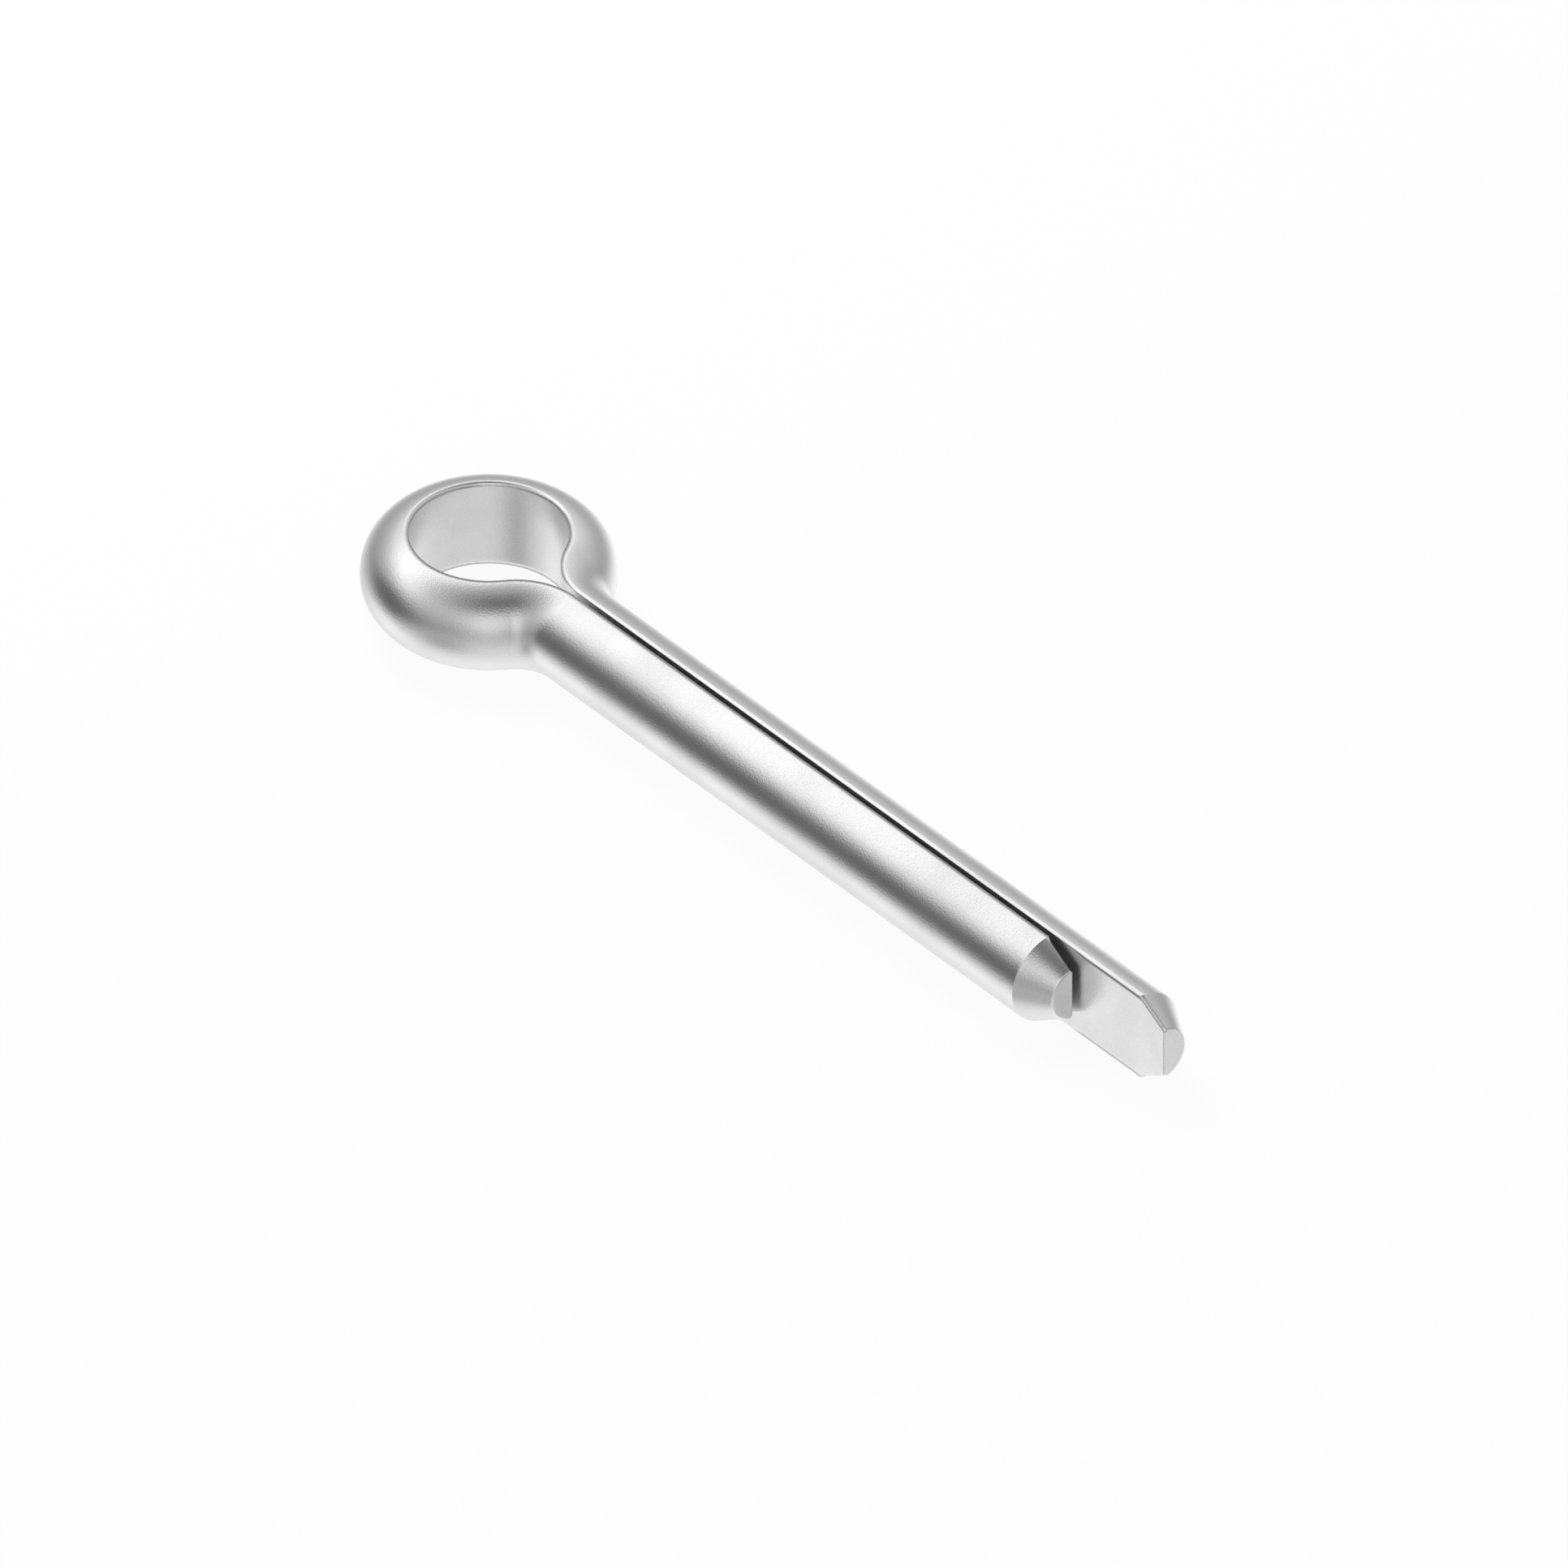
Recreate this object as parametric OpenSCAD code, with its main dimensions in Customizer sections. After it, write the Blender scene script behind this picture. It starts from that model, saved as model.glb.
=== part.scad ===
// Split cotter pin with an extended prong.
// One length of half-round wire is folded back on itself, flat face inwards: a round eye at the
// fold, a neck on each side of it, and two straight legs that close to a round, slit shank.
// The origin is the centre of the eye. +X runs along the legs and +Z along the eye's axis.

/* [Wire] */
// Diameter of the round shank that the two legs make together
shank_d = 5.88; // [4:0.02:8]
// Slit between the flat faces of the two legs
leg_gap = 0.31; // [0.1:0.01:0.6]
// Radius of the rolled edges of the half-round wire
edge_r = 0.2; // [0.05:0.01:0.4]

/* [Eye] */
// Width of the eye's opening, from flat face to flat face
eye_bore_d = 9.32; // [7:0.02:13]
// Radius of the hollow in the back of each neck
hollow_r = 1.64; // [0.6:0.02:3]

/* [Legs] */
// Length from the underside of the eye to the tip of the short leg
short_leg_len = 45; // [20:0.5:90]
// Lead of the long leg over the tip of the short one
long_leg_lead = 7.77; // [1:0.01:15]

/* [Points] */
// Length of the taper at the tip of each leg
point_len = 2.17; // [0.8:0.01:3]
// Slope of the taper against the line of the leg
point_angle = 30; // [15:1:38]
// Width of the bevel on the edges of the flat face round the tip
bevel_w = 0.2; // [0.05:0.01:0.3]

/* [Hidden] */
$fn = 96;

// Room that a cutting shape has beyond the metal it cuts
clear_of = 1;
// Length by which the eye and the legs lap the necks, so that the whole wire is one solid
lap = 0.0002;
// Share by which a rolled edge's arc is larger than one that only touches the faces beside it,
// so that it crosses them
crossing = 0.001;

shank_r = shank_d / 2;
// Distance of a leg's flat face from the axis of the shank
flat_y = leg_gap / 2;
wire_t = shank_r - flat_y;

// The flat face of the wire is the wall of the eye
eye_r = eye_bore_d / 2;
eye_outer_r = eye_r + wire_t;
// Radius of the fold along the centre of the wire's round back
ring_r = eye_r - flat_y;

// The neck bends the other way. Its flat face touches the eye's wall and the leg's flat face
neck_r = hollow_r + wire_t;
neck_y = flat_y + neck_r;
neck_x = sqrt(pow(eye_r + neck_r, 2) - pow(neck_y, 2));
// Bearing, from the eye's centre, of the place where eye and neck meet
neck_bearing = atan2(neck_y, neck_x);
// More than the eye and a neck measure together
reach = 2 * (eye_outer_r + neck_r);

short_tip_x = eye_outer_r + short_leg_len;
long_tip_x = short_tip_x + long_leg_lead;
tip_r = shank_r - point_len * tan(point_angle);

// Takes a convex corner off a profile, down to an arc of radius edge_r about centre.
// way_a and way_b are the unit vectors from centre to the two faces beside the corner.
module corner_cut(centre, way_a, way_b) {
    side = 3 * edge_r;
    difference() {
        polygon([
            centre,
            centre + side * way_a,
            centre + side * (way_a + way_b),
            centre + side * way_b
        ]);
        translate(centre) circle(edge_r * (1 + crossing));
    }
}

// Section of the wire: a circle cut off flat just short of its centre, with rolled edges.
// x counts from the circle's centre towards the round back, y along the flat face.
module half_round() {
    edge_x = flat_y + edge_r;
    edge_y = sqrt(pow(shank_r - edge_r, 2) - pow(edge_x, 2));
    to_back = [edge_x, edge_y] / (shank_r - edge_r);
    difference() {
        intersection() {
            circle(shank_r);
            translate([flat_y, -shank_r]) square([wire_t + clear_of, shank_d]);
        }
        for (side = [0, 1]) mirror([0, side])
            corner_cut([edge_x, edge_y], [-1, 0], to_back);
    }
}

// Moves from the eye's centre to the centre that the neck bends about. The moves stay apart, so
// that the faces that meet there are placed by the same ones.
module about_neck() {
    rotate(neck_bearing) translate([ring_r, 0]) translate([neck_y, 0]) rotate(-neck_bearing)
        children();
}

// Plan of everything past the line where eye and neck meet, or past one that is a step beyond it
module past_eye(step = 0) {
    rotate(neck_bearing) translate([-reach, -reach - step]) square([2 * reach, reach]);
}

// The fold: the section carried round the eye, open between the necks
module eye() {
    difference() {
        rotate_extrude() translate([ring_r, 0]) half_round();
        linear_extrude(2 * shank_d, center = true) intersection() {
            past_eye(lap);
            mirror([0, 1]) past_eye(lap);
        }
    }
}

// One neck, on the +Y side: the section turned over and carried from the eye to the leg
module neck() {
    intersection() {
        about_neck() rotate_extrude() translate([neck_y, 0]) mirror([1, 0]) half_round();
        linear_extrude(2 * shank_d, center = true) intersection() {
            past_eye();
            about_neck() translate([-reach, -reach]) square([reach, 2 * reach]);
        }
    }
}

// Outline that turns a leg's end to a point: a cone, then a flat face with a rounded rim.
// x counts from the axis of the shank, y along it from the end of the neck.
module point_outline(len) {
    rim = [tip_r - edge_r * tan(45 - point_angle / 2), len - edge_r];
    difference() {
        polygon([
            [0, -clear_of],
            [shank_r + clear_of, -clear_of],
            [shank_r + clear_of, len - point_len - clear_of / tan(point_angle)],
            [tip_r, len],
            [0, len]
        ]);
        corner_cut(rim, [0, 1], [cos(point_angle), sin(point_angle)]);
    }
}

// Block that bevels the edge of the leg's flat face from a to b, both given as [x, z]
module edge_bevel(a, b) {
    run = b - a;
    translate([a[0], flat_y, a[1]])
        rotate([0, -atan2(run[1], run[0]), 0])
            rotate([45, 0, 0])
                translate([-clear_of, -shank_r, -bevel_w / 2])
                    cube([norm(run) + 2 * clear_of, shank_d, clear_of]);
}

// One leg, on the +Y side, from the end of the neck to its point
module leg(tip_x) {
    len = tip_x - neck_x;
    shoulder_z = sqrt(pow(shank_r, 2) - pow(flat_y, 2));
    tip_z = sqrt(pow(tip_r, 2) - pow(flat_y, 2));
    about_neck() translate([0, -neck_y]) difference() {
        intersection() {
            rotate([90, 0, 90]) translate([0, 0, -lap])
                linear_extrude(lap + len + clear_of) half_round();
            rotate([0, 90, 0]) rotate_extrude() point_outline(len);
        }
        edge_bevel([len, tip_z], [len, -tip_z]);
        for (side = [0, 1]) mirror([0, 0, side])
            edge_bevel([len - point_len, shoulder_z], [len, tip_z]);
    }
}

module cotter_pin() {
    color("gainsboro") {
        eye();
        neck();
        leg(long_tip_x);
        mirror([0, 1, 0]) {
            neck();
            leg(short_tip_x);
        }
    }
}

cotter_pin();
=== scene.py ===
# %% [markdown]
# # A split cotter pin in satin steel
#
# A split cotter pin is one length of half-round wire, folded back on itself with the flat face
# inwards. It has a round eye at the fold, a neck bent the other way on each side of the eye, and
# two straight legs that close to a round, slit shank.
#
# The imported CAD part is loaded first. It fixes every size.

from math import atan2, cos, pi, radians, sin, sqrt, tan

import bpy
import numpy as np
from mathutils import Matrix, Vector


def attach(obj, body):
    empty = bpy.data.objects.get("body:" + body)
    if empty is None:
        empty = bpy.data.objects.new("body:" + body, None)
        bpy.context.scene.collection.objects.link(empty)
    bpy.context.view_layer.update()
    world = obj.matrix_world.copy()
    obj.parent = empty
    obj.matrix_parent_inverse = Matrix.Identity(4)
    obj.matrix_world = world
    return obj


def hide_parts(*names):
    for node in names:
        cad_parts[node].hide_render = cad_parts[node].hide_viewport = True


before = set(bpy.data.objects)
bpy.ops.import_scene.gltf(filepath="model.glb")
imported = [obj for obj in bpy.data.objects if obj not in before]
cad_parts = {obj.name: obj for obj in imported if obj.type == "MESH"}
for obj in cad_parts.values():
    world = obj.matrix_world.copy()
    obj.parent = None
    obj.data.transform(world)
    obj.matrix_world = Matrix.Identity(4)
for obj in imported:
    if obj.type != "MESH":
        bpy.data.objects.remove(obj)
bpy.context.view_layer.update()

# %% [markdown]
# ## The sizes of the wire
#
# The part's source makes the pin from a few named sizes, and the same sizes are worked out here,
# in millimetres.
#
# Four sizes are about the edges. The wire's corners are cut off narrowly, and barrel polishing
# has eased the metal a little further on both sides of each corner, which shows in the shine
# only. The tapers and end faces are turned, with broader bevels that keep their own shine.

# %% Named sizes, in mm
MM = 0.001
SHANK_R = 2.94          # the round shank that the two legs make together
FLAT_Y = 0.155          # half of the slit between the legs
BEVEL = 0.03            # what is cut off each corner of the half-round wire
EASE = 0.32             # how far from an edge polishing has eased the metal
TIP_BEVEL = 0.18        # what is cut off the corners of the tapers and end faces
BEVEL_GROWS = 0.3       # how far into a taper its bevel has grown to that
EYE_R = 4.66            # the eye's opening
HOLLOW_R = 1.64         # the hollow in the back of each neck
SHORT_LEG = 45.0        # from the underside of the eye to the short tip
LEAD = 7.77             # of the long leg over the short one
POINT_LEN = 2.17        # the taper at each tip
POINT_SLOPE = radians(30)

WIRE_T = SHANK_R - FLAT_Y
EYE_OUTER_R = EYE_R + WIRE_T
FOLD_R = EYE_R - FLAT_Y                 # of the fold, along the centre of the round back
NECK_R = HOLLOW_R + WIRE_T + FLAT_Y     # of the neck, along the same line
NECK_X = sqrt((FOLD_R + NECK_R) ** 2 - NECK_R ** 2)
BEARING = atan2(NECK_R, NECK_X)         # where eye and neck meet, seen from the eye's centre
SHORT_TIP = EYE_OUTER_R + SHORT_LEG
LONG_TIP = SHORT_TIP + LEAD
TIP_R = SHANK_R - POINT_LEN * tan(POINT_SLOPE)
print(f"necks start at {NECK_X:.3f} mm, tips at {SHORT_TIP:.3f} and {LONG_TIP:.3f} mm")

# %% [markdown]
# ## The section of the wire
#
# Half-round wire is drawn through a die, so its section is a circle that is cut off flat just
# short of its centre, with its two corners taken off. The loaded CAD part has that section too,
# but as flat facets. Satin metal shows every facet in its highlights, so the wire is made again
# here as a fine sweep with far more points where it is tightly curved.
#
# The section is a function of one parameter. It gives the loop for every station along the wire
# at once, so that the taper at a tip is only a change of radius.


# %% The half-round section
def steps(count):
    """count + 1 even steps from 0 to 1."""
    return np.linspace(0, 1, count + 1)


def crowded(count, crowd):
    """Steps from 0 to 1 that lie closer at both ends: s - crowd * sin(2 pi s) / (2 pi)."""
    even = steps(count)
    return even - crowd * np.sin(2 * pi * even) / (2 * pi)


FLAT_STEPS = np.array([0, 0.45, 0.8, 0.9, 0.93, 0.955, 0.98])      # closer towards the edge
BEVEL_STEPS = steps(4)
BACK_STEPS = crowded(84, 0.75)
EDGE_COLUMN = len(FLAT_STEPS) + len(BEVEL_STEPS) // 2


def half_round(back_r, flat, bevel):
    """Loops of the section, one for each station.

    u counts from the shank's axis towards the round back and v along the flat face. A circle of
    radius bevel touches both the flat and the round back when its centre lies at
    u = flat + bevel, v = sqrt((back_r - bevel)^2 - u^2), and a corner is cut off straight from
    one of its two touching points to the other. The loop runs up half of the flat, across the
    bevel, over the back about the axis, and down the mirror image of the first part. Returns u
    and v, each station by point.
    """
    back_r, flat, bevel = (np.asarray(a, float)[:, None] for a in (back_r, flat, bevel))
    edge_u = flat + bevel
    edge_v = np.sqrt((back_r - bevel) ** 2 - edge_u ** 2)
    meet = np.arctan2(edge_v, edge_u)
    over = meet * (1 - 2 * BACK_STEPS[1:-1])
    half_u = np.hstack([flat + 0 * FLAT_STEPS, flat + bevel * (1 + np.cos(meet)) * BEVEL_STEPS])
    half_v = np.hstack([edge_v * FLAT_STEPS, edge_v + bevel * np.sin(meet) * BEVEL_STEPS])
    u = np.hstack([half_u, back_r * np.cos(over), half_u[:, :0:-1]])
    v = np.hstack([half_v, back_r * np.sin(over), -half_v[:, :0:-1]])
    return u, v


# %% [markdown]
# ## The path of the wire
#
# The path is five plain stretches that meet without a kink: a straight leg, a neck that bends
# outwards, the eye that bends back round, the other neck, and the other leg. Each station has a
# place on the path, the direction from the flat face to the round back, and its section. At a
# tip the stations crowd together: the taper, then the rounded rim of the end face.


# %% Stations of a pointed leg
CRISP = 0.012           # how close two stations keep the line crisp where a taper starts
RIM_STEPS = 8
RIM_TURN = radians(84)  # short of a quarter turn, at which the section's own bevel would vanish


def point_stations(tip):
    """Stations along x from just behind the taper to the end face, with their sections.

    On the taper the back's radius is TIP_R + (tip - x) * tan(slope), and the bevel grows from
    the wire's to the tip's. The rim is most of a quarter turn about a core:
    x = tip - bevel + bevel * sin(t), while the section shrinks towards the core and its own
    bevel to bevel * cos(t).
    """
    shoulder = tip - POINT_LEN
    grown = shoulder + BEVEL_GROWS
    rim = tip - TIP_BEVEL
    x = np.concatenate([
        [shoulder - CRISP], shoulder + (grown - shoulder) * steps(5),
        grown + (rim - grown) * steps(9)[1:],
    ])
    back_r = np.minimum(SHANK_R, TIP_R + (tip - x) * tan(POINT_SLOPE))
    t = RIM_TURN * steps(RIM_STEPS)[1:]
    rim_x = tip - TIP_BEVEL * (1 - np.sin(t))
    core_r = TIP_R + TIP_BEVEL * (tan(POINT_SLOPE) - 1 / cos(POINT_SLOPE))
    rim_r = np.where(
        t < POINT_SLOPE,
        TIP_R + (tip - rim_x) * tan(POINT_SLOPE),
        core_r + TIP_BEVEL * np.cos(t),
    )
    bevel = np.concatenate([
        np.interp(x - shoulder, (0, BEVEL_GROWS), (BEVEL, TIP_BEVEL)), TIP_BEVEL * np.cos(t),
    ])
    flat = np.concatenate([0 * x + FLAT_Y, FLAT_Y + TIP_BEVEL * (1 - np.cos(t))])
    return np.stack([np.concatenate([x, rim_x]), np.concatenate([back_r, rim_r]), flat, bevel])


def leg_stations(tip, side):
    """A leg from its tip to the neck: origin x, y, outward direction x, y, and the section."""
    point = point_stations(tip)
    shaft = np.linspace(NECK_X, point[0, 0], 41)[1:-1]
    same = np.ones_like(shaft)
    straight = np.stack([shaft, SHANK_R * same, FLAT_Y * same, BEVEL * same])
    x, back_r, flat, bevel = np.hstack([straight, point])[:, ::-1]
    still = np.zeros_like(x)
    return np.stack([x, still, still, still + side, back_r, flat, bevel])


def bend_stations(centre, radius, start, end, count, out):
    """A bend about centre: origin = centre + radius * (cos, sin), outward = out * (cos, sin)."""
    t = start + (end - start) * steps(count)
    ones = np.ones_like(t)
    return np.stack([
        centre[0] + radius * np.cos(t), centre[1] + radius * np.sin(t),
        out * np.cos(t), out * np.sin(t),
        SHANK_R * ones, FLAT_Y * ones, BEVEL * ones,
    ])


neck_a = bend_stations((NECK_X, NECK_R), NECK_R, 3 * pi / 2, pi + BEARING, 40, -1)
fold = bend_stations((0, 0), FOLD_R, BEARING, 2 * pi - BEARING, 200, 1)
neck_b = bend_stations((NECK_X, -NECK_R), NECK_R, pi - BEARING, pi / 2, 40, -1)
stations = np.hstack([
    leg_stations(LONG_TIP, 1), neck_a, fold[:, 1:-1], neck_b, leg_stations(SHORT_TIP, -1)[:, ::-1],
])
print("stations along the wire:", stations.shape[1])

# %% [markdown]
# ## From stations to a mesh
#
# Section and path together give the whole wire as one grid of points: a ring of points for each
# station. Each end face closes with rings that shrink to one middle point. A closed grid like
# this is needed twice, for the wire and later for the tent that lights it, so one function
# makes both. The floor's disc is open, and takes only the quads.


# %% A closed grid of rings
def ring_quads(rows, cols):
    """Quads between neighbouring rings: each joins point j and j + 1 of one ring to the next's.

    Returns the number of each point, the number of the point beside it, and the quads.
    """
    ids = np.arange(rows * cols).reshape(rows, cols)
    beside = np.roll(ids, -1, 1)
    quads = np.stack([ids[:-1], beside[:-1], beside[1:], ids[1:]], -1).reshape(-1, 4)
    return ids, beside, quads


def closed_grid(name, rings, start, stop):
    """A mesh of quads between neighbouring rings, with a fan from each end ring to its middle.

    rings is ring by point by 3. The faces look outwards when the rings turn clockwise, seen
    along their order.
    """
    rows, cols = rings.shape[:2]
    ids, beside, quads = ring_quads(rows, cols)
    first, last = np.full(cols, rows * cols), np.full(cols, rows * cols + 1)
    fans = np.concatenate([
        np.stack([first, beside[0], ids[0]], -1), np.stack([last, ids[-1], beside[-1]], -1),
    ])
    points = np.concatenate([rings.reshape(-1, 3), [start, stop]])
    mesh = bpy.data.meshes.new(name)
    mesh.from_pydata(points.tolist(), [], quads.tolist() + fans.tolist())
    mesh.polygons.foreach_set("use_smooth", np.ones(len(mesh.polygons), bool))
    return mesh


def per_point(mesh, name, values):
    """Keeps one number for each point of a mesh, for a material to read."""
    layer = mesh.attributes.new(name, "FLOAT", "POINT")
    layer.data.foreach_set("value", np.asarray(values, np.float32).ravel())


# %% Carry the section along the path
def carried(stations):
    """Points of the wire in mm: origin + u * outward, with v upwards. Station by point by 3."""
    ox, oy, wx, wy, back_r, flat, bevel = stations
    u, v = half_round(back_r, flat, bevel)
    return np.stack([ox[:, None] + u * wx[:, None], oy[:, None] + u * wy[:, None], v], -1)


FACE_SHARES = np.array([0.97, 0.94, 0.86, 0.5, 0])


def end_face(ring, tip):
    """Rings that close a leg: middle + share * (ring - middle), all in the plane of its tip."""
    middle = ring.mean(0)
    face = middle + (ring - middle) * FACE_SHARES[:, None, None]
    face[..., 0] = tip
    return face


body = carried(stations)
long_face, short_face = end_face(body[0], LONG_TIP), end_face(body[-1], SHORT_TIP)
rings = np.concatenate([long_face[-2::-1], body, short_face[:-1]])
pin_mesh = closed_grid("bent_wire", rings * MM, long_face[-1, 0] * MM, short_face[-1, 0] * MM)
pin = bpy.data.objects.new("bent_wire", pin_mesh)
bpy.context.scene.collection.objects.link(pin)
print(f"{pin.name}: {len(pin_mesh.vertices)} points, {len(pin_mesh.polygons)} faces")

# %% [markdown]
# ## Eased edges
#
# Every corner of the wire catches the light in a soft line that is wider than the corner itself,
# because polishing has eased the metal beside it. So each point gets its own normal. Well away
# from the edges it is that of the plain flat, back, taper or end face. Near an edge it turns
# evenly from one to the other. Polishing hardly gets into the slit, so the flats are eased in
# full only where they are open: in the eye, and on the long leg past the short one. A taper's
# edge turns within its bevel, and holds still in the middle of it. Where the taper starts nothing
# is eased, so that line stays crisp.


# %% Distance from the edges
def travelled(points):
    """Distance along a line of points, or each column of a grid: the running sum of its steps."""
    run = np.cumsum(np.linalg.norm(np.diff(points, axis=0), axis=-1), axis=0)
    return np.concatenate([0 * run[:1], run])


FACE_ROWS = len(FACE_SHARES) - 1
RIM_ROW = FACE_ROWS + RIM_STEPS // 2     # halfway round the rim of an end face
girth = travelled(np.moveaxis(rings, 1, 0)).T
past_edge = np.minimum(girth - girth[:, [EDGE_COLUMN]], girth[:, [-EDGE_COLUMN]] - girth)
run = travelled(rings)
past_rim = np.maximum(run[[RIM_ROW]] - run, run - run[[-1 - RIM_ROW]])
flat_x, flat_y = rings[:, :1, 0], rings[:, :1, 1]
opening = np.max([np.abs(flat_y) - FLAT_Y, flat_x - SHORT_TIP, -flat_x], axis=0)
print(f"flat {-2 * past_edge.min():.2f} mm wide, back {2 * past_edge.max():.2f} mm round")


# %% Normals that turn evenly across an edge
def turned(past, before, after, ease, hold):
    """before well short of an edge, after well past it, and a mix near it.

    The share of after is a half up to hold from the edge, on both sides. From there it falls to
    0, or grows to 1, in a straight line that ends at ease from the edge.
    """
    beyond = np.sign(past) * np.maximum(np.abs(past) - hold, 0)
    share = np.clip(0.5 + beyond / (ease - hold) / 2, 0, 1)[..., None]
    mixed = (1 - share) * before + share * after
    return mixed / np.linalg.norm(mixed, axis=-1, keepdims=True)


HALF_BEVEL = TIP_BEVEL / sqrt(2)         # half the width of a taper's bevel, mm
HELD = 0.55                             # share of a bevel that is plain
OPEN_AT = 0.4                           # how far out of the slit a flat is eased in full, mm
IN_SLIT = 0.1                           # share of the easing that is left in the slit
TOUCHING = 1e-6                         # a station this close to a line lies on it, mm

station_of_ring = np.clip(np.arange(len(rings)) - FACE_ROWS, 0, stations.shape[1] - 1)
ox, oy, wx, wy = stations[:4, station_of_ring, None]
zero = np.zeros_like(ox)
past_shoulder = ox - np.where(oy + wy > 0, LONG_TIP, SHORT_TIP) + POINT_LEN
on_taper = past_shoulder > -TOUCHING
tipwards = np.array([1.0, 0, 0])
round_out = rings - np.stack([ox, oy, zero], -1)
round_out /= np.linalg.norm(round_out, axis=-1, keepdims=True)
slope = np.where(on_taper, POINT_SLOPE, 0)[..., None]
back_normal = np.cos(slope) * round_out + np.sin(slope) * tipwards
back_ease = np.interp(past_shoulder, (0, BEVEL_GROWS), (EASE, HALF_BEVEL))
hold = np.interp(past_shoulder, (0, BEVEL_GROWS), (0, HELD * HALF_BEVEL))
flat_ease = hold + (back_ease - hold) * np.clip(opening / OPEN_AT, IN_SLIT, 1)
ease = np.where(past_edge < 0, flat_ease, back_ease)
side_normal = turned(past_edge, -np.stack([wx, wy, zero], -1), back_normal, ease, hold)
rim_ease = TIP_BEVEL / 2 * np.where(past_edge < 0, pi / 2, pi / 2 - POINT_SLOPE)
normals = turned(past_rim, side_normal, tipwards, rim_ease, 0)
pin_mesh.normals_split_custom_set_from_vertices(
    np.concatenate([normals.reshape(-1, 3), [tipwards, tipwards]]).tolist())

# %% [markdown]
# ## A map along the wire
#
# Drawing leaves its lines along the wire, round every bend. So the UV map is measured on the
# wire itself, in millimetres: U along its middle line and V round its section. The loops of a
# face take their V from the column, so that the map closes without a smeared strip.


# %% UV map in mm
section_loop = rings[len(rings) // 2]
around = travelled(np.concatenate([section_loop, section_loop[:1]]))
along = travelled(rings.mean(1))
grid = np.stack(np.meshgrid(along, around, indexing="ij"), -1)
quad_uv = np.stack([grid[:-1, :-1], grid[:-1, 1:], grid[1:, 1:], grid[1:, :-1]], 2)


def fan_uv(ring_uv, step, order):
    """A fan's UV: its middle point lies a step further along than its ring."""
    middle = (ring_uv[:-1] + ring_uv[1:]) / 2 + (step, 0)
    return np.stack([middle, *((ring_uv[1:], ring_uv[:-1])[::order])], 1)


end_step = TIP_R * FACE_SHARES[-2] / 2  # about half the depth of the smallest ring, mm
uv = np.concatenate([
    quad_uv.reshape(-1, 2),
    fan_uv(grid[0], -end_step, 1).reshape(-1, 2), fan_uv(grid[-1], end_step, -1).reshape(-1, 2),
])
pin_mesh.uv_layers.new(name="along_wire").uv.foreach_set("vector", uv.astype(np.float32).ravel())
print(f"wire {along[-1]:.1f} mm along its middle, {around[-1]:.2f} mm round its section")

# %% [markdown]
# ## Where the metal is worn
#
# Edges and corners rub bright, and the tips are turned after the wire is drawn. Each point of the
# mesh keeps how near it lies to an edge, worked out from the same distances. The tapers and the
# end faces take a second material, while the flat keeps the wire's own to its very end.


# %% Wear along the edges, and the turned faces of the tips
EDGE_RUBBED = 0.2       # how far wear reaches from an edge, mm
SHOULDER_RUBBED = 0.12  # and from the line where a taper starts


def bell(distance, width):
    """1 at no distance, falling off smoothly: exp(-(distance / width)^2)."""
    return np.exp(-(distance / width) ** 2)


wear = np.max([
    bell(past_edge, EDGE_RUBBED), bell(past_rim, EDGE_RUBBED),
    bell(past_shoulder, SHOULDER_RUBBED) * (past_edge > 0),
], axis=0)
per_point(pin_mesh, "edge_wear", np.concatenate([wear.ravel(), [0, 0]]))

turned_points = (on_taper & (past_edge >= 0)) | (past_rim >= 0)
both_rows = turned_points[:-1] & turned_points[1:]
turned_quads = both_rows & np.roll(both_rows, -1, 1)
turned_faces = np.concatenate([turned_quads.ravel(), np.ones(2 * rings.shape[1], bool)])
pin_mesh.polygons.foreach_set("material_index", turned_faces.astype(np.int32))
pin_mesh.update()
print(f"{turned_faces.sum()} of {len(turned_faces)} faces are turned ones")


# %% Measure how much metal the closed mesh holds, and whether its faces turn outwards
def enclosed(mesh):
    """Volume inside a closed mesh: a sixth of the sum of a . (b x c) over its triangles."""
    mesh.calc_loop_triangles()
    corners = np.empty(3 * len(mesh.loop_triangles), np.int32)
    mesh.loop_triangles.foreach_get("vertices", corners)
    place = np.empty(3 * len(mesh.vertices))
    mesh.vertices.foreach_get("co", place)
    a, b, c = np.moveaxis(place.reshape(-1, 3)[corners.reshape(-1, 3)], 1, 0)
    return float((a * np.cross(b, c)).sum() / 6)


print(f"metal: {enclosed(pin_mesh) / MM ** 3:.1f} mm3 (positive: faces point outwards)")
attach(pin, "root")
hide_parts("cotter_pin")

# %% [markdown]
# ## The finish, in parts
#
# Satin steel is bright metal whose surface is broken up on three scales. The finest is a
# speckle a tenth of a millimetre across, left by tumbling the pins with grit: each grain leans
# its own way and is a little lighter or darker. Drawing and turning leave long faint lines.
# Handling leaves clouds where the metal is a little duller. Each is a node group of its own, so
# that both materials share them with other values.


# %% Helpers for node trees
def add(tree, kind, **settings):
    """A new node. A setting is one of its properties, or else one of its inputs by name."""
    made = tree.nodes.new(kind)
    for key, value in settings.items():
        if hasattr(made, key):
            setattr(made, key, value)
        else:
            feed(tree, value, made.inputs[key.replace("_", " ").title()])
    return made


def feed(tree, value, socket):
    """Links an output into a socket, or sets the socket to a plain value."""
    if isinstance(value, bpy.types.NodeSocket):
        tree.links.new(value, socket)
    else:
        socket.default_value = value


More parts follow.
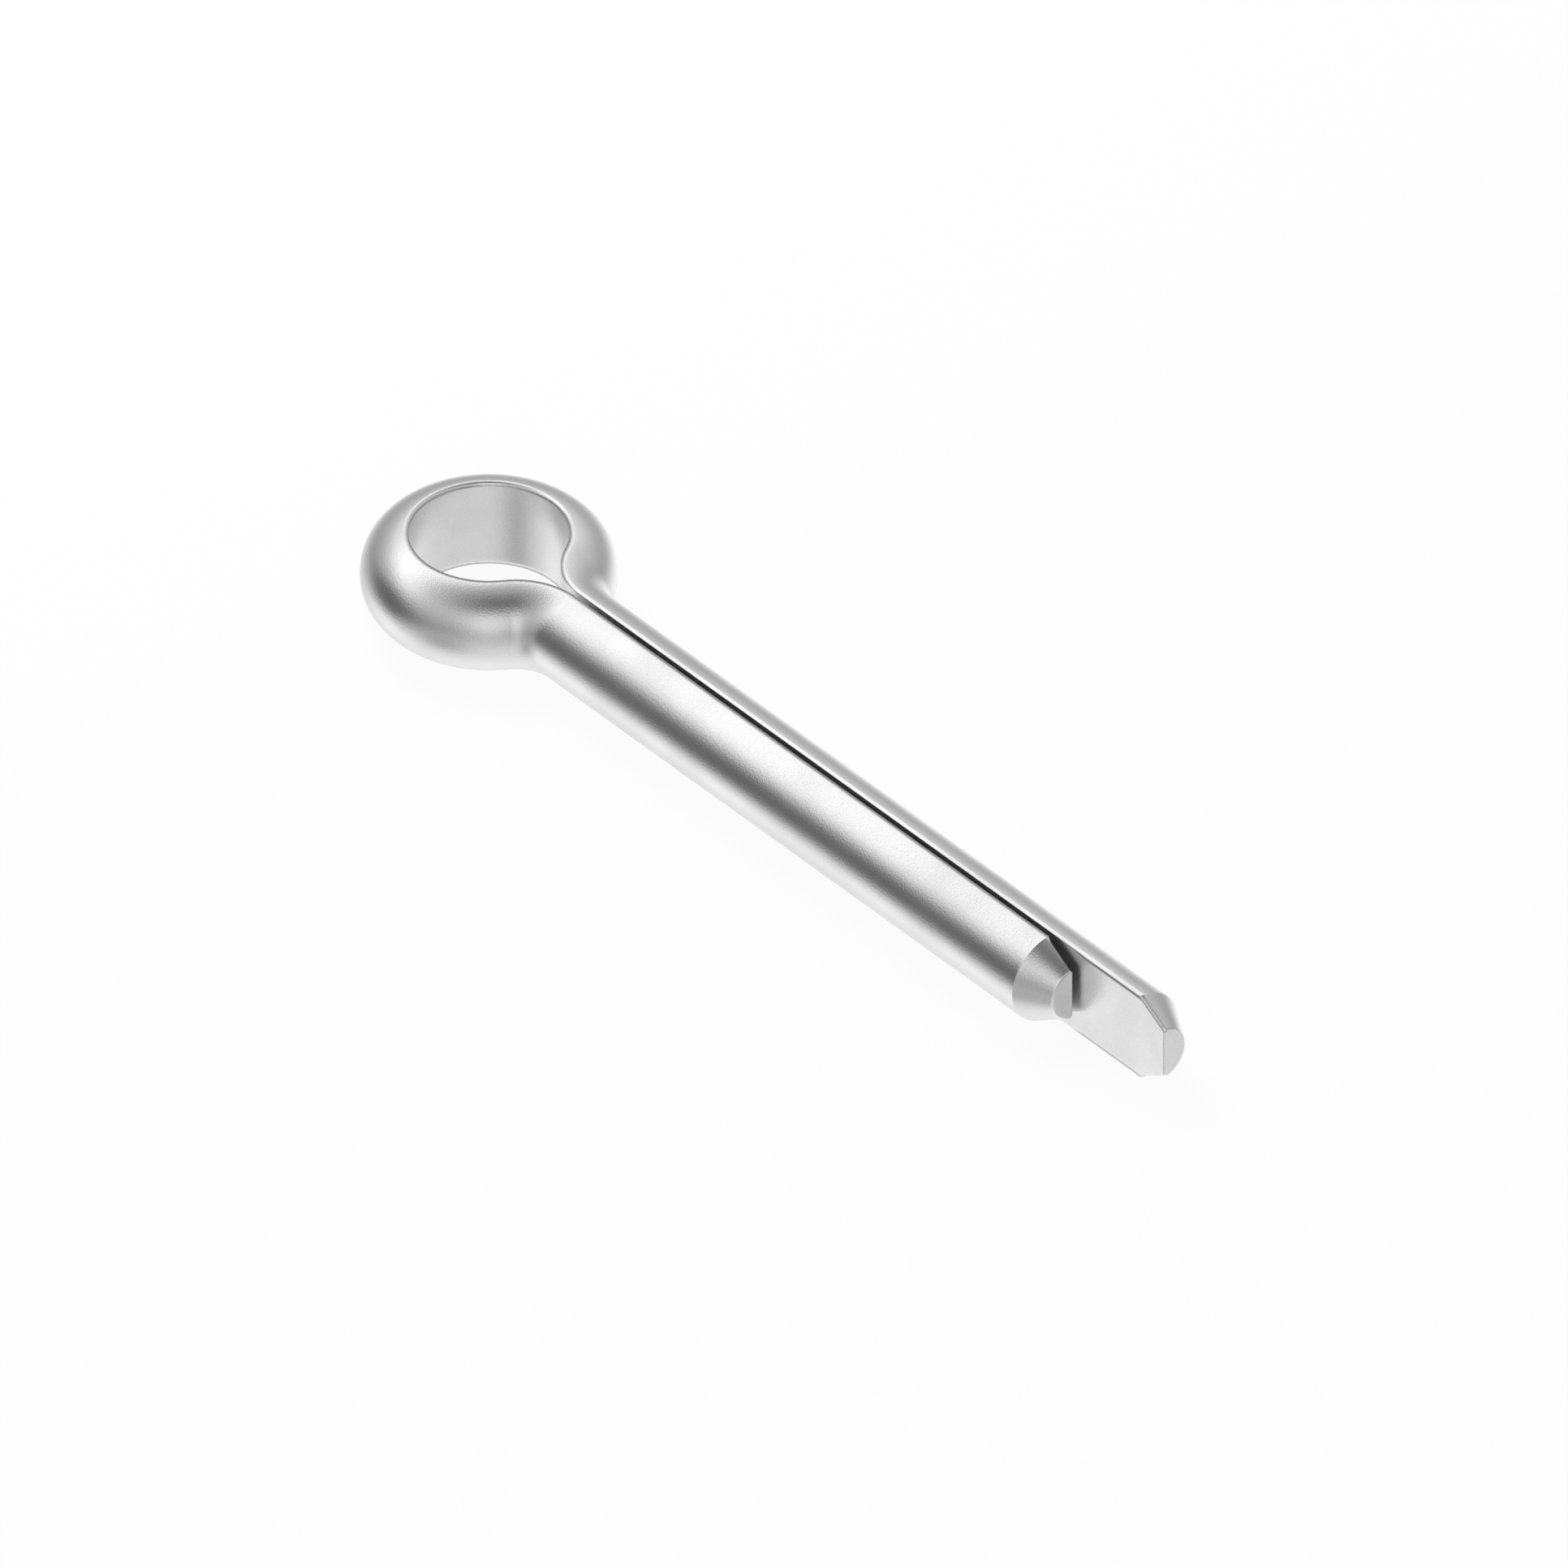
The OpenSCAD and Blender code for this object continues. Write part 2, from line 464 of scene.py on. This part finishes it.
def calc(tree, operation, *values):
    """The result of a Math node on values or sockets: calc(tree, "MULTIPLY", height, depth)."""
    made = tree.nodes.new("ShaderNodeMath")
    made.operation = operation
    for socket, value in zip(made.inputs, values):
        feed(tree, value, socket)
    return made.outputs[0]


def new_group(name, inputs, outputs):
    """An empty node group with named sockets: inputs as {name: default}, outputs as names.

    A default of None makes a vector socket. Returns the tree, what comes in and what goes out.
    """
    tree = bpy.data.node_groups.new(name, "ShaderNodeTree")
    for label, default in inputs.items():
        kind = "NodeSocketVector" if default is None else "NodeSocketFloat"
        socket = tree.interface.new_socket(label, in_out="INPUT", socket_type=kind)
        if default is not None:
            socket.default_value = default
    for label in outputs:
        tree.interface.new_socket(label, in_out="OUTPUT", socket_type="NodeSocketFloat")
    return tree, tree.nodes.new("NodeGroupInput").outputs, tree.nodes.new("NodeGroupOutput").inputs


def use_group(tree, group, **settings):
    """A group placed in a material, with its inputs set by name."""
    made = tree.nodes.new("ShaderNodeGroup")
    made.node_tree = group
    for key, value in settings.items():
        feed(tree, value, made.inputs[key.replace("_", " ").title()])
    return made.outputs


# %% Speckle: fine grains, a height and a tone from -1 to 1, with the size of a grain in metres
speckle, got, give = new_group(
    "satin_speckle", {"Place": None, "Grain": 0.0001}, ["Height", "Tone"])
grains = add(speckle, "ShaderNodeTexNoise", noise_dimensions="3D", Detail=1, Roughness=0.7,
             Vector=got["Place"], Scale=calc(speckle, "DIVIDE", 1, got["Grain"]))
feed(speckle, grains.outputs["Fac"], give["Height"])
aside = add(speckle, "ShaderNodeVectorMath", operation="ADD")
feed(speckle, got["Place"], aside.inputs[0])
aside.inputs[1].default_value = (1, 1, 1)   # so far off that tone and height aren't tied
shades = add(speckle, "ShaderNodeTexNoise", noise_dimensions="3D", Detail=1, Roughness=0.7,
             Vector=aside.outputs[0], Scale=calc(speckle, "DIVIDE", 1, got["Grain"]))
feed(speckle, calc(speckle, "MULTIPLY_ADD", shades.outputs["Fac"], 2, -1), give["Tone"])

# %% Lines: noise that is stretched along X and Z of a map in mm, and narrow along its Y
lines, got, give = new_group("worked_lines", {"Map": None, "Along": 8, "Across": 0.1}, ["Height"])
apart = add(lines, "ShaderNodeSeparateXYZ", Vector=got["Map"])
squeezed = add(lines, "ShaderNodeCombineXYZ", **{
    axis: calc(lines, "DIVIDE", apart.outputs[axis], got[length])
    for axis, length in (("X", "Along"), ("Y", "Across"), ("Z", "Along"))
})
streaks = add(lines, "ShaderNodeTexNoise", noise_dimensions="3D", Detail=2, Scale=1,
              Roughness=0.5, Vector=squeezed.outputs[0])
feed(lines, streaks.outputs["Fac"], give["Height"])

# %% Clouds: large soft patches that are a little duller
clouds, got, give = new_group("handled_clouds", {"Place": None, "Width": 0.004}, ["Dull"])
patches = add(clouds, "ShaderNodeTexNoise", noise_dimensions="3D", Detail=3, Roughness=0.55,
              Vector=got["Place"], Scale=calc(clouds, "DIVIDE", 1, got["Width"]))
spread = add(clouds, "ShaderNodeMapRange", interpolation_type="SMOOTHSTEP",
             From_Min=0.35, From_Max=0.7, Value=patches.outputs["Fac"])
feed(clouds, spread.outputs[0], give["Dull"])
print("finish groups:", [g.name for g in bpy.data.node_groups])

# %% [markdown]
# ## Two materials from the same parts
#
# The wire's own surface has its lines along the wire, so it reads them from the UV map. The
# turned faces have theirs round the axis. There the number that changes across a line is x less
# the distance from the axis: it grows along the taper and goes on growing, without a jump, over
# the end face to its middle. Base colour, roughness and the fine relief all come from the groups.
# The relief's depths are real ones, from a thousandth to a hundredth of a millimetre.


# %% Maps for the lines, in mm
def along_wire(tree):
    """U along the wire and V round its section."""
    return add(tree, "ShaderNodeUVMap", uv_map="along_wire").outputs[0]


def round_axis(tree):
    """(y, x - distance from the axis, z), from Object coordinates."""
    place = add(tree, "ShaderNodeVectorMath", operation="SCALE", Scale=1 / MM)
    feed(tree, add(tree, "ShaderNodeTexCoord").outputs["Object"], place.inputs[0])
    apart = add(tree, "ShaderNodeSeparateXYZ", Vector=place.outputs[0]).outputs
    squares = [calc(tree, "MULTIPLY", apart[axis], apart[axis]) for axis in "YZ"]
    radius = calc(tree, "SQRT", calc(tree, "ADD", *squares))
    across = calc(tree, "SUBTRACT", apart["X"], radius)
    return add(tree, "ShaderNodeCombineXYZ", X=apart["Y"], Y=across, Z=apart["Z"]).outputs[0]


# %% Satin steel
STEEL = 0.78                            # brightness of the metal
TONES = (STEEL + 0.01, STEEL - 0.03)    # of bright metal, and of a dull cloud
CLOUD = 0.005                           # width of a cloud, m
GRAIN = 0.0001                          # size of a grain, m
GRAIN_DEPTH = 0.00001                   # how deep the speckle is, m
GRAIN_TONE = 0.06                       # how much lighter or darker a grain is
RUBBED_TONE = 0.03                      # how much lighter a worn edge is
RUBBED_ROUGH = -0.01                    # how much its roughness changes


def satin_steel(name, line_map, line, line_depth, rough):
    """Satin metal. line is (length, width) in mm, line_depth in m, and rough is (low, high).

    The height is grain depth * speckle + line depth * lines. The colour is near STEEL, lighter or
    darker from grain to grain. Dull clouds raise the roughness and lower the colour a little,
    and worn edges do the opposite.
    """
    material = bpy.data.materials.new(name)
    material.use_nodes = True
    tree = material.node_tree
    metal = tree.nodes["Principled BSDF"]
    metal.inputs["Metallic"].default_value = 1
    place = add(tree, "ShaderNodeTexCoord").outputs["Object"]
    worn = add(tree, "ShaderNodeAttribute", attribute_name="edge_wear").outputs["Fac"]
    dull = use_group(tree, clouds, place=place, width=CLOUD)["Dull"]
    fine = use_group(tree, speckle, place=place, grain=GRAIN)
    drawn = use_group(tree, lines, map=line_map(tree), along=line[0], across=line[1])["Height"]

    tone = add(tree, "ShaderNodeMapRange", Value=dull, To_Min=TONES[0], To_Max=TONES[1])
    bright = calc(tree, "MULTIPLY_ADD", worn, RUBBED_TONE, tone.outputs[0])
    bright = calc(tree, "MULTIPLY_ADD", fine["Tone"], GRAIN_TONE, bright)
    grey = add(tree, "ShaderNodeCombineColor", Red=bright, Green=bright, Blue=bright)
    feed(tree, grey.outputs[0], metal.inputs["Base Color"])

    matt = add(tree, "ShaderNodeMapRange", Value=dull, To_Min=rough[0], To_Max=rough[1])
    rubbed = calc(tree, "MULTIPLY_ADD", worn, RUBBED_ROUGH, matt.outputs[0])
    feed(tree, rubbed, metal.inputs["Roughness"])

    height = calc(tree, "MULTIPLY", fine["Height"], GRAIN_DEPTH)
    height = calc(tree, "MULTIPLY_ADD", drawn, line_depth, height)
    relief = add(tree, "ShaderNodeBump", Height=height, Distance=1)
    feed(tree, relief.outputs[0], metal.inputs["Normal"])
    return material


pin_mesh.materials.append(satin_steel(
    "satin_wire", along_wire, line=(9, 0.12), line_depth=0.000001, rough=(0.29, 0.32)))
pin_mesh.materials.append(satin_steel(
    "turned_tip", round_axis, line=(7, 0.1), line_depth=0.0000015, rough=(0.295, 0.33)))
print("materials:", [m.name for m in pin_mesh.materials])

# %% [markdown]
# ## A tent of light
#
# Satin metal has hardly a look of its own: it shows what stands round it. Small bright parts are
# lit in a tent of white cloth, with lights behind some of its panels and grey card in front of
# others. This tent is a sphere whose brightness is worked out for each of its points. It starts
# as a level that depends on the height only: white below, dim level with the pin, paler above
# that and dim again in the roof. Each panel adds to it or takes from it with soft edges.
#
# Each panel stands where one part of the pin looks. The shank's upper side looks high behind the
# eye and its side looks level to the left, so a lamp and a card there give it a bright strip and
# a dark one. The other five do the same for the eye, the flat faces and the long leg's back.
#
# The tent lights the pin and the floor, but the camera doesn't see it.

# %% The tent's cloth and panels: bearings and heights in degrees
CLOTH_HEIGHTS = (-90, -30, 0, 40, 90)
CLOTH_LEVELS = (1.1, 0.8, 0.3, 0.7, 0.3)
PANELS = np.array([
    # bearing, height, half width, half height, level
    (180, 50, 30, 8, 1.2),              # long lamp high behind the eye: the shank's upper side
    (-130, 0, 15, 15, -0.7),            # card on the left: the shank's side
    (-20, 65, 20, 12, -0.6),            # card high in front: the near top of the eye
    (-80, -35, 12, 10, -0.5),           # card low on the left: the middle of the eye's wall
    (-40, 20, 12, 20, 0.6),             # tall lamp in front: the near side of the eye
    (115, -25, 30, 15, 0.5),            # long lamp low at the back: the long leg's back
    (-145, -40, 12, 10, 0.4),           # small lamp low on the left: the legs' flat faces
])
DARKEST = 0.1                           # the least that any part of the tent shines


def tent_level(way):
    """Brightness of the tent in each direction, as a share of plain white.

    The cloth's level is read off its table by height. A panel is a bell in its own plane:
    level * exp(-(x / half width)^2 / 2 - (y / half height)^2 / 2), where x and y are the angles
    from its middle, sideways and upwards, measured as on a map that keeps distances.
    """
    level = np.interp(np.degrees(np.arcsin(way[:, 2])), CLOTH_HEIGHTS, CLOTH_LEVELS)
    bearing, height, half_w, half_h, amount = PANELS.T
    b, h = np.radians(bearing), np.radians(height)
    side = np.stack([-np.sin(b), np.cos(b), 0 * b])
    middle = np.stack([np.cos(b) * np.cos(h), np.sin(b) * np.cos(h), np.sin(h)])
    upward = np.stack([-np.cos(b) * np.sin(h), -np.sin(b) * np.sin(h), np.cos(h)])
    angle = np.degrees(np.arccos(np.clip(way @ middle, -1, 1)))
    spread = angle / np.maximum(np.sin(np.radians(angle)), 1e-6)    # no division by 0 at its middle
    x, y = way @ side * spread / half_w, way @ upward * spread / half_h
    level = level + (amount * np.exp(-(x ** 2 + y ** 2) / 2)).sum(1)
    return np.maximum(level, DARKEST)


# %% Make the tent
TENT_R = 0.5
TENT_COLS, TENT_ROWS = 120, 60          # 3 degrees apart
bearing = np.linspace(0, 2 * pi, TENT_COLS + 1)[:-1]
height = np.linspace(-pi / 2, pi / 2, TENT_ROWS + 1)[1:-1, None]
sphere = np.stack([
    np.cos(bearing) * np.cos(height), np.sin(bearing) * np.cos(height),
    np.sin(height) + 0 * bearing,
], -1)
poles = np.array([(0, 0, -1.0), (0, 0, 1.0)])
tent_mesh = closed_grid("light_tent", sphere * TENT_R, *(poles * TENT_R))
per_point(tent_mesh, "level", tent_level(np.concatenate([sphere.reshape(-1, 3), poles])))
tent = bpy.data.objects.new("light_tent", tent_mesh)
bpy.context.scene.collection.objects.link(tent)
tent.visible_camera = False

cloth = bpy.data.materials.new("lit_cloth")
cloth.use_nodes = True
cloth.node_tree.nodes.clear()
glow = add(cloth.node_tree, "ShaderNodeEmission", Strength=add(
    cloth.node_tree, "ShaderNodeAttribute", attribute_name="level").outputs["Fac"])
add(cloth.node_tree, "ShaderNodeOutputMaterial", Surface=glow.outputs[0])
cloth.cycles.emission_sampling = "NONE"
tent_mesh.materials.append(cloth)
levels = tent_level(sphere.reshape(-1, 3))
print(f"tent levels from {levels.min():.2f} to {levels.max():.2f}, mean {levels.mean():.2f}")

# %% [markdown]
# ## Floor, lamp and background
#
# The pin lies on a pale disc. The metal shows the tent's own white floor in place of the disc,
# so the disc is kept out of reflections. A soft lamp over the eye gives the pin a gentle shadow.
# For the camera the disc glows almost up to white by itself and keeps only a part of its shading,
# which fades out away from the pin, so that it runs into the white background without an edge.

# %% Floor
INNER_R, FLOOR_R = 0.05, 0.45           # of the disc's first and last rings, m
DISC_COLS, DISC_RINGS = 96, 9
PAPER = 0.93                            # brightness of the paper
SHADED = 0.07                           # share of the floor's look that comes from real light
FADE_FROM, FADE_TO = 0.07, 0.16         # from the eye's centre, where that share fades out, m
floor_z = rings[..., 2].min() * MM      # where the wire's lowest points touch
turn = np.linspace(0, 2 * pi, DISC_COLS + 1)[:-1]
radii = np.linspace(INNER_R, FLOOR_R, DISC_RINGS)[:, None]
disc = np.stack([radii * np.cos(turn), radii * np.sin(turn), floor_z + 0 * radii * turn], -1)
ids, beside, quads = ring_quads(DISC_RINGS, DISC_COLS)
disc_points = np.concatenate([disc.reshape(-1, 3), [(0, 0, floor_z)]])
fan = np.stack([np.full(DISC_COLS, ids.size), ids[0], beside[0]], -1)
floor_mesh = bpy.data.meshes.new("floor")
floor_mesh.from_pydata(disc_points.tolist(), [], quads[:, ::-1].tolist() + fan.tolist())
floor = bpy.data.objects.new("floor", floor_mesh)
bpy.context.scene.collection.objects.link(floor)
floor.visible_glossy = False

paper = bpy.data.materials.new("white_paper")
paper.use_nodes = True
tree = paper.node_tree
tree.nodes.clear()


def seen(tree):
    """1 for what the camera sees, straight or by way of metal or glass, and 0 for its light."""
    rays = add(tree, "ShaderNodeLightPath").outputs
    shown = calc(tree, "MAXIMUM", rays["Is Camera Ray"], rays["Is Glossy Ray"])
    return calc(tree, "MAXIMUM", shown, rays["Is Transmission Ray"])


away = add(tree, "ShaderNodeVectorMath", operation="LENGTH")
feed(tree, add(tree, "ShaderNodeTexCoord").outputs["Object"], away.inputs[0])
own_light = add(tree, "ShaderNodeMapRange", interpolation_type="SMOOTHSTEP",
                Value=away.outputs["Value"], From_Min=FADE_FROM, From_Max=FADE_TO,
                To_Min=1 - SHADED, To_Max=1)
share = calc(tree, "MULTIPLY", seen(tree), own_light.outputs[0])
matt = add(tree, "ShaderNodeBsdfDiffuse", Color=(PAPER, PAPER, PAPER, 1))
white = add(tree, "ShaderNodeEmission", Strength=1)
mixed = add(tree, "ShaderNodeMixShader")
for socket, value in zip(mixed.inputs, (share, matt.outputs[0], white.outputs[0])):
    feed(tree, value, socket)
add(tree, "ShaderNodeOutputMaterial", Surface=mixed.outputs[0])
paper.cycles.emission_sampling = "NONE"
floor_mesh.materials.append(paper)

# %% Background
ROOM = 0.8                              # level of the room's own light, while its look is white
world = bpy.data.worlds.new("white_room")
bpy.context.scene.world = world
world.use_nodes = True
tree = world.node_tree
plain = add(tree, "ShaderNodeMapRange", Value=seen(tree), To_Min=ROOM, To_Max=1)
tree.nodes["Background"].inputs["Color"].default_value = (1, 1, 1, 1)
tree.links.new(plain.outputs[0], tree.nodes["Background"].inputs["Strength"])

# %% Soft lamp
LAMP_SIZE, LAMP_AWAY = 0.22, 0.4        # m
LAMP_POWER = 0.8                        # W
LAMP_WAY = (-0.6, 0.14, 0.79)           # from the eye's centre, over the eye
lamp_data = bpy.data.lights.new("soft_lamp", "AREA")
lamp_data.shape = "DISK"
lamp_data.size = LAMP_SIZE
lamp_data.energy = LAMP_POWER
lamp = bpy.data.objects.new("soft_lamp", lamp_data)
bpy.context.scene.collection.objects.link(lamp)
lamp_way = Vector(LAMP_WAY).normalized()
lamp_turn = lamp_way.to_track_quat("Z", "Y").to_matrix().to_4x4()
lamp.matrix_world = Matrix.Translation(lamp_way * LAMP_AWAY) @ lamp_turn
lamp.visible_glossy = False

# %% [markdown]
# ## Camera
#
# The camera looks down from the right of the shank and sees no perspective, as a drawing does.
# Bearing 0 looks along +Y. The eye's centre is held at one place in the square frame.

# %% Camera
BEARING_DEG, HEIGHT_DEG = 49.92, 37.12
FRAME_MM = 90.25
EYE_AT = (0.31183, 0.36495)             # of the frame's width from the left, height from the top
CAMERA_AWAY = 0.3                       # m
a, e = radians(BEARING_DEG), radians(HEIGHT_DEG)
right = Vector((cos(a), sin(a), 0))
back = Vector((sin(a) * cos(e), -cos(a) * cos(e), sin(e)))
up = back.cross(right)
lens = bpy.data.cameras.new("camera")
lens.type = "ORTHO"
lens.ortho_scale = FRAME_MM * MM
lens.clip_start, lens.clip_end = 0.01, 2
camera = bpy.data.objects.new("camera", lens)
aim = (right * (0.5 - EYE_AT[0]) - up * (0.5 - EYE_AT[1])) * FRAME_MM * MM
facing = Matrix((right, up, back)).transposed().to_4x4()
camera.matrix_world = Matrix.Translation(aim + back * CAMERA_AWAY) @ facing
bpy.context.scene.collection.objects.link(camera)
bpy.context.scene.camera = camera
bpy.context.scene.view_settings.view_transform = "Standard"
print("camera looks at", [round(1000 * x, 2) for x in aim], "mm")
